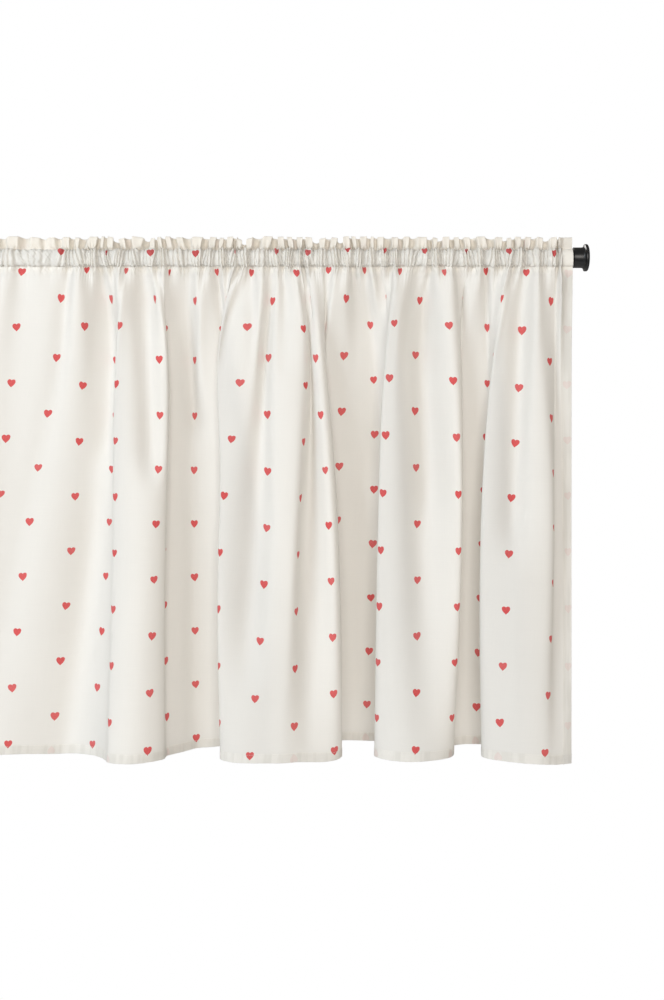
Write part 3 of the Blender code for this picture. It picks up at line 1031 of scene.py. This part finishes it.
def cotton_material(settings):
    """Printed cotton: woven, a little sheer, with its print showing faintly through the turned hems."""
    material, n, shader, output = new_material("printed_cotton")
    hearts = shared_group("heart_repeat", heart_repeat_group)
    place = n.add("ShaderNodeUVMap", uv_map="cloth_place").outputs[0]
    u, v = n.split(place)[:2]
    sizes = {
        "column_pitch": settings.print_columns,
        "row_pitch": settings.print_rows,
        "width": settings.heart_width,
        "height": settings.heart_height,
    }
    printed = n.add("ShaderNodeUVMap", uv_map="print_place").outputs[0]
    stretch = n.add("ShaderNodeAttribute", attribute_name="print_stretch").outputs["Fac"]
    widen = n.math("MAXIMUM", n.ramp(v, -0.004, 0.045, 1.12, 1.0), stretch)
    lengthen = n.ramp(v, -0.014, -0.006, 1.05, 1.0)
    mask = n.group(hearts, place=printed, widen=widen, lengthen=lengthen, **sizes)

    right, side = CLOTH_WIDTH * MM, SIDE_HEM * MM
    turned_side = n.vector(n.minus(2 * right, u), v)
    turned_up = n.vector(u, n.minus((2 * HEM_DROP + HEM_PRINT_SHIFT) * MM, v))
    side_ghost, hem_ghost = (n.group(hearts, place=at, **sizes)["Mask"] for at in (turned_side, turned_up))
    in_side = n.math(
        "MAXIMUM",
        n.ramp(u, right - side, right - side + 0.0004),
        n.ramp(u, side - 0.0004, side, 1.0, 0.0),
    )
    hem_top = (HEM_DROP - BOTTOM_HEM) * MM
    in_hem = n.ramp(v, hem_top - 0.0003, hem_top + 0.0003)
    ghost = n.math("MAXIMUM", n.times(side_ghost, in_side), n.times(hem_ghost, in_hem))

    weave = shared_group("plain_weave", plain_weave_group)
    thread = n.group(weave, place=place, pitch=settings.thread_pitch)
    colour = cotton_colour_and_painted_light(n, settings, n.math("MAXIMUM", in_side, in_hem), v, thread, place)
    colour = n.mix(n.times(ghost, GHOST), colour, shade(settings.ink_colour, 1.0))
    strong = n.times(n.times(mask["Mask"], n.line(mask["Tone"], 0.06, 0.90)), n.minus(1.0, in_side))
    reverse = n.add("ShaderNodeNewGeometry").outputs["Backfacing"]
    darker = n.add("ShaderNodeVectorMath", operation="SCALE")
    stipple = n.line(n.noise(place, 620.0), 0.55, 0.66)
    n.give(darker, vector=settings.ink_colour, scale=stipple)
    colour = n.mix(n.times(strong, n.line(reverse, -0.72, 1.0)), colour, darker.outputs[0])
    n.give(shader, base_color=colour, roughness=0.92, specular_ior_level=0.2)
    n.give(shader, sheen_weight=0.12, sheen_roughness=0.5)

    pocket_top = -POCKET_CLOTH * MM
    gathered = n.ramp(v, -0.001, 0.016, 1.0, 0.0)
    gathered = n.times(gathered, n.ramp(v, pocket_top - 0.007, pocket_top))
    gathered = n.times(gathered, n.ramp(u, right - 0.016, right - side, 1.0, 0.0))
    puckers = n.group(shared_group("gather_creases", gather_creases_group), place=place)["Height"]
    creased = bump(n, shader, n.times(puckers, gathered), 0.52, 0.0020)
    bump(n, shader, thread["Height"], 0.35, 0.00012, creased)
    through = n.add("ShaderNodeBsdfTranslucent")
    n.give(through, color=n.mix(1.0, colour, (1.0, 0.95, 0.86, 1.0), "MULTIPLY"))
    sheer = n.add("ShaderNodeMixShader")
    for socket, value in zip(sheer.inputs, (SHEERNESS, shader.outputs[0], through.outputs[0])):
        n.feed(socket, value)
    n.give(output, surface=sheer.outputs[0])
    return material


def thread_material(settings):
    material, n, shader, _ = new_material("sewing_thread")
    grain = worn(n, scale=2500.0)["Grain"]
    n.give(shader, base_color=n.mix(grain, shade(settings.colour, 1.0), shade(settings.colour, 0.9)))
    n.give(shader, roughness=0.7)
    bump(n, shader, grain, 0.4, 0.0001)
    return material


def steel_material(settings):
    """Dark drawn steel, with fine lines along the rod."""
    material, n, shader, _ = new_material("dark_steel")
    wear = worn(n, scale=1500.0, stretch=(0.02, 1.0, 1.0))
    steel = settings.steel_colour
    n.give(shader, base_color=n.mix(wear["Cloud"], shade(steel, 1.0), shade(steel, 1.7)))
    n.give(shader, metallic=0.9, roughness=n.line(wear["Grain"], 0.2, 0.3))
    bump(n, shader, wear["Grain"], 0.2, 0.0001)
    return material


def cap_material(settings):
    """Satin black lacquer with a very fine orange-peel surface."""
    material, n, shader, _ = new_material("satin_black")
    wear = worn(n, scale=700.0)
    black = settings.cap_colour
    n.give(shader, base_color=n.mix(wear["Cloud"], shade(black, 1.0), shade(black, 1.6)))
    n.give(shader, roughness=n.line(wear["Cloud"], 0.12, 0.26), specular_ior_level=0.35)
    bump(n, shader, wear["Grain"], 0.12, 0.0002)
    return material


def stage_material():
    material, n, shader, _ = new_material("pale_floor")
    place = n.add("ShaderNodeTexCoord").outputs["Object"]
    pale = n.mix(n.noise(place, 3.0, 3.0), (0.84, 0.84, 0.84, 1), (0.88, 0.88, 0.87, 1))
    n.give(shader, base_color=pale, roughness=0.8)
    return material


class CURTAIN_OT_panel(bpy.types.Operator):
    """Add the printed cotton panel"""

    bl_idname = "curtain.panel"
    bl_label = "Add Curtain Panel"

    def execute(self, context):
        panel = new_object("printed_panel", build_panel_mesh())
        panel.data.materials.append(cotton_material(context.scene.curtain_cloth))
        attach(panel, "root")
        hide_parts("curtain_panel")
        return {"FINISHED"}


def stitch_tree():
    """Geometry Nodes that lay one small rounded stitch after another along each curve."""
    tree, n, given, result = new_group(
        "stitch_run",
        {"Geometry": "Geometry", "Pitch": 0.0, "Length": 0.0, "Thread": 0.0, "Finish": "Material"},
        {"Geometry": "Geometry"},
        "GeometryNodeTree",
    )
    tree.is_modifier = True
    points = n.add("GeometryNodeCurveToPoints", mode="LENGTH")
    points = n.give(points, curve=given["Geometry"], length=given["Pitch"]).outputs
    ball = n.give(n.add("GeometryNodeMeshUVSphere"), segments=5, rings=4, radius=0.5).outputs["Mesh"]
    sizes = n.vector(given["Thread"], given["Thread"], given["Length"])
    stitch = n.give(n.add("GeometryNodeTransform"), geometry=ball, scale=sizes).outputs[0]
    run = n.add("GeometryNodeInstanceOnPoints")
    n.give(run, points=points["Points"], rotation=points["Rotation"], instance=stitch)
    thread = n.give(n.add("GeometryNodeRealizeInstances"), geometry=run.outputs[0]).outputs[0]
    sewn = n.give(n.add("GeometryNodeSetMaterial"), geometry=thread, material=given["Finish"])
    n.feed(result["Geometry"], sewn.outputs[0])
    return tree


def baked_mesh(obj, name):
    """A plain mesh of the object as its modifiers make it."""
    graph = bpy.context.evaluated_depsgraph_get()
    mesh = bpy.data.meshes.new_from_object(obj.evaluated_get(graph))
    mesh.name = name
    return mesh


THREAD_LIFT = 0.2


def stitch_lines():
    """Lines of points, in metres, that the stitches follow: pocket, bottom hem and side hems."""
    rows, cloth = top_rows(), cloth_columns(COLUMN_SPLIT)
    points = sheet_points(cloth, rows)
    normal = surface_normals(points)
    front = BACK_POCKET_ROWS + len(HEADING_PATH[::2]) + 1 + len(HEADING_PATH)
    lines = []
    for row in (1, BACK_POCKET_ROWS - 1, front, front + FRONT_POCKET_ROWS - 1):
        lines.append(points[row] + THREAD_LIFT * normal[row])
    body, wide = body_rows(), cloth_columns(1)
    points = sheet_points(wide, body)
    normal = surface_normals(points)
    seam = int(np.argmin(np.abs(body["drop"] - (HEM_DROP - BOTTOM_SEAM))))
    side = len(EDGE_STEPS) - 1
    for at in (seam, (slice(None), side), (slice(None), len(wide) - 1 - side)):
        for height in (THREAD_LIFT, -THREAD_LIFT - TURNED_GAP):
            lines.append(points[at] + height * normal[at])
    return [line * MM for line in lines]


class CURTAIN_OT_stitching(bpy.types.Operator):
    """Add the machine stitching of the pocket and hems"""

    bl_idname = "curtain.stitching"
    bl_label = "Add Stitching"

    def execute(self, context):
        settings = context.scene.curtain_stitch
        curve = bpy.data.curves.new("stitch_path", "CURVE")
        curve.dimensions = "3D"
        for line in stitch_lines():
            run = curve.splines.new("POLY")
            run.points.add(len(line) - 1)
            run.points.foreach_set("co", np.column_stack([line, np.ones(len(line))]).ravel())
        path = new_object("stitch_path", curve)
        modifier = path.modifiers.new("stitches", "NODES")
        modifier.node_group = stitch_tree()
        values = {
            "Pitch": settings.pitch,
            "Length": settings.length,
            "Thread": settings.thread,
            "Finish": thread_material(settings),
        }
        for item in modifier.node_group.interface.items_tree:
            if item.in_out == "INPUT" and item.name in values:
                modifier[item.identifier] = values[item.name]
        stitching = new_object("stitching", baked_mesh(path, "stitching"))
        bpy.data.objects.remove(path)
        stitching.data.shade_smooth()
        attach(stitching, "root")
        return {"FINISHED"}


CAP_BORE = 8.4
CAP_SOCKET = 11.0
CAP_NECK = 3.9


def cap_profile(inner, outer, radius):
    """(radius, height) corners of a cap: rounded rim, flange, flared neck, barrel and bore."""
    barrel = radius - CAP_NECK
    outline = [(0.0, outer), (radius - 3.0, outer)]
    outline += arc_points(radius - 2.0, outer - 2.0, 2.0, 90, 0, 7)
    outline += arc_points(radius - 0.35, outer - 3.45, 0.35, 0, -90, 3)
    outline += arc_points(radius, outer - 7.7, CAP_NECK, 90, 180, 8)
    outline += [(barrel, inner + 0.5), (barrel - 0.15, inner + 0.15), (barrel - 0.5, inner)]
    outline += [(CAP_BORE, inner), (CAP_BORE, inner + CAP_SOCKET), (0.0, inner + CAP_SOCKET)]
    return outline


def arc_points(across, along, radius, start, stop, steps):
    """Points of an arc about (across, along), from one angle to another in degrees."""
    turns = [math.radians(start + (stop - start) * i / steps) for i in range(steps + 1)]
    return [(across + radius * math.cos(t), along + radius * math.sin(t)) for t in turns]


TURNED_STEPS = 96


def turned_cap(name, node, side):
    """A cap turned from its profile about the rod's axis, on the end that its CAD node has."""
    low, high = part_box(node)
    ends = sorted((abs(low.x) / MM, abs(high.x) / MM))
    profile = cap_profile(*ends, high.z / MM)
    mesh = bpy.data.meshes.new(name)
    points = [(side * height * MM, 0.0, radius * MM) for radius, height in profile]
    mesh.from_pydata(points, [(i, i + 1) for i in range(len(points) - 1)], [])
    source = new_object(name + "_profile", mesh)
    screw = source.modifiers.new("turn", "SCREW")
    screw.axis = "X"
    screw.steps = screw.render_steps = TURNED_STEPS
    screw.use_merge_vertices = True
    screw.merge_threshold = 0.00001
    cap = new_object(name, baked_mesh(source, name))
    bpy.data.objects.remove(source)
    return cap


class CURTAIN_OT_rod(bpy.types.Operator):
    """Finish the rod and turn its two end caps"""

    bl_idname = "curtain.rod"
    bl_label = "Add Rod and Caps"

    def execute(self, context):
        settings = context.scene.curtain_rod
        rod = frame["nodes"]["rod"]
        rod.data.materials.clear()
        rod.data.materials.append(steel_material(settings))
        black = cap_material(settings)
        for label, side in (("left", -1), ("right", 1)):
            node = "end_cap_" + label
            cap = turned_cap("turned_cap_" + label, node, side)
            tidy_shell(cap.data)
            cap.data.materials.append(black)
            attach(cap, "root")
            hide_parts(node)
        return {"FINISHED"}


def tidy_shell(mesh):
    """Faces outwards, smooth, with its corners kept sharp."""
    shell = bmesh.new()
    shell.from_mesh(mesh)
    bmesh.ops.remove_doubles(shell, verts=shell.verts, dist=0.000005)
    bmesh.ops.recalc_face_normals(shell, faces=shell.faces)
    shell.to_mesh(mesh)
    shell.free()
    mesh.shade_smooth()
    mesh.set_sharp_from_angle(angle=math.radians(40))


def surround_world(strength):
    """Even pale light from all round, and plain white behind the object."""
    world = bpy.data.worlds.new("surround")
    world.use_nodes = True
    n = Nodes(world.node_tree)
    light = world.node_tree.nodes["Background"]
    n.give(light, color=(1.0, 0.966, 0.92, 1.0), strength=strength)
    white = n.give(n.add("ShaderNodeBackground"), color=(1.0, 1.0, 1.0, 1.0), strength=1.0)
    seen = n.add("ShaderNodeLightPath").outputs["Is Camera Ray"]
    choose = n.add("ShaderNodeMixShader")
    for socket, value in zip(choose.inputs, (seen, light.outputs[0], white.outputs[0])):
        n.feed(socket, value)
    n.give(world.node_tree.nodes["World Output"], surface=choose.outputs[0])
    return world


# Soft square lamps, each with the power that the setting of its name holds.
# name, place, size, colour
LAMPS = (
    ("key", (-2.1, -2.2, 0.75), 1.5, (0.84, 0.93, 1.0)),
    ("front", (0.3, -2.8, 0.3), 1.3, (1.0, 0.957, 0.90)),
    ("back", (-1.2, 2.6, 1.3), 1.5, (1.0, 0.985, 0.96)),
)
LAMP_AIM = (0.05, 0.0, -0.3)
FLOOR_SIDE = 1.35
FLOOR_LEVEL = -1.55


def add_lamp(name, place, size, colour, power):
    """A soft square lamp, turned towards the curtain."""
    lamp = bpy.data.lights.new(name, "AREA")
    lamp.shape = "SQUARE"
    lamp.size = size
    lamp.energy = power
    lamp.color = colour
    obj = new_object(name, lamp)
    obj.location = place
    obj.rotation_euler = (Vector(LAMP_AIM) - Vector(place)).to_track_quat("-Z", "Y").to_euler()


class CURTAIN_OT_stage(bpy.types.Operator):
    """Add the camera, the soft lights and the pale floor"""

    bl_idname = "curtain.stage"
    bl_label = "Add Stage"

    def execute(self, context):
        settings = context.scene.curtain_stage
        camera = bpy.data.cameras.new("camera")
        camera.lens = settings.lens
        camera.sensor_width = 36.0
        camera.shift_y = -0.1
        camera.clip_start, camera.clip_end = 0.05, 50.0
        view = new_object("camera", camera)
        view.location = settings.camera_place
        view.rotation_euler = (math.radians(90), 0.0, 0.0)
        context.scene.camera = view
        context.scene.world = surround_world(settings.surround)
        context.scene.view_settings.view_transform = "Standard"
        for name, place, size, colour in LAMPS:
            add_lamp(name + "_light", place, size, colour, getattr(settings, name))
        floor = bpy.data.meshes.new("floor")
        turns = ((-1, -1), (1, -1), (1, 1), (-1, 1))
        corners = [(x * FLOOR_SIDE, y * FLOOR_SIDE, FLOOR_LEVEL) for x, y in turns]
        floor.from_pydata(corners, [], [(0, 1, 2, 3)])
        floor.materials.append(stage_material())
        new_object("floor", floor)
        return {"FINISHED"}


class CURTAIN_PT_maker(bpy.types.Panel):
    """The curtain's tools"""

    bl_label = "Cafe Curtain"
    bl_space_type = "VIEW_3D"
    bl_region_type = "UI"
    bl_category = "Curtain"

    def draw(self, context):
        for key in SETTINGS:
            box = self.layout.box()
            settings = getattr(context.scene, key)
            for name in settings.__annotations__:
                box.prop(settings, name)
        for operator in OPERATORS:
            self.layout.operator(operator.bl_idname)


SETTINGS = {
    "curtain_cloth": CurtainSettings,
    "curtain_stitch": StitchSettings,
    "curtain_rod": RodSettings,
    "curtain_stage": StageSettings,
}
OPERATORS = (CURTAIN_OT_panel, CURTAIN_OT_stitching, CURTAIN_OT_rod, CURTAIN_OT_stage)
CLASSES = (*SETTINGS.values(), *OPERATORS, CURTAIN_PT_maker)


def register():
    for cls in CLASSES:
        bpy.utils.register_class(cls)
    for key, cls in SETTINGS.items():
        setattr(bpy.types.Scene, key, bpy.props.PointerProperty(type=cls))


def unregister():
    for key in SETTINGS:
        delattr(bpy.types.Scene, key)
    for cls in reversed(CLASSES):
        bpy.utils.unregister_class(cls)


def main():
    register()
    bpy.ops.curtain.panel()
    bpy.ops.curtain.stitching()
    bpy.ops.curtain.rod()
    bpy.ops.curtain.stage()


if __name__ == "__main__":
    main()
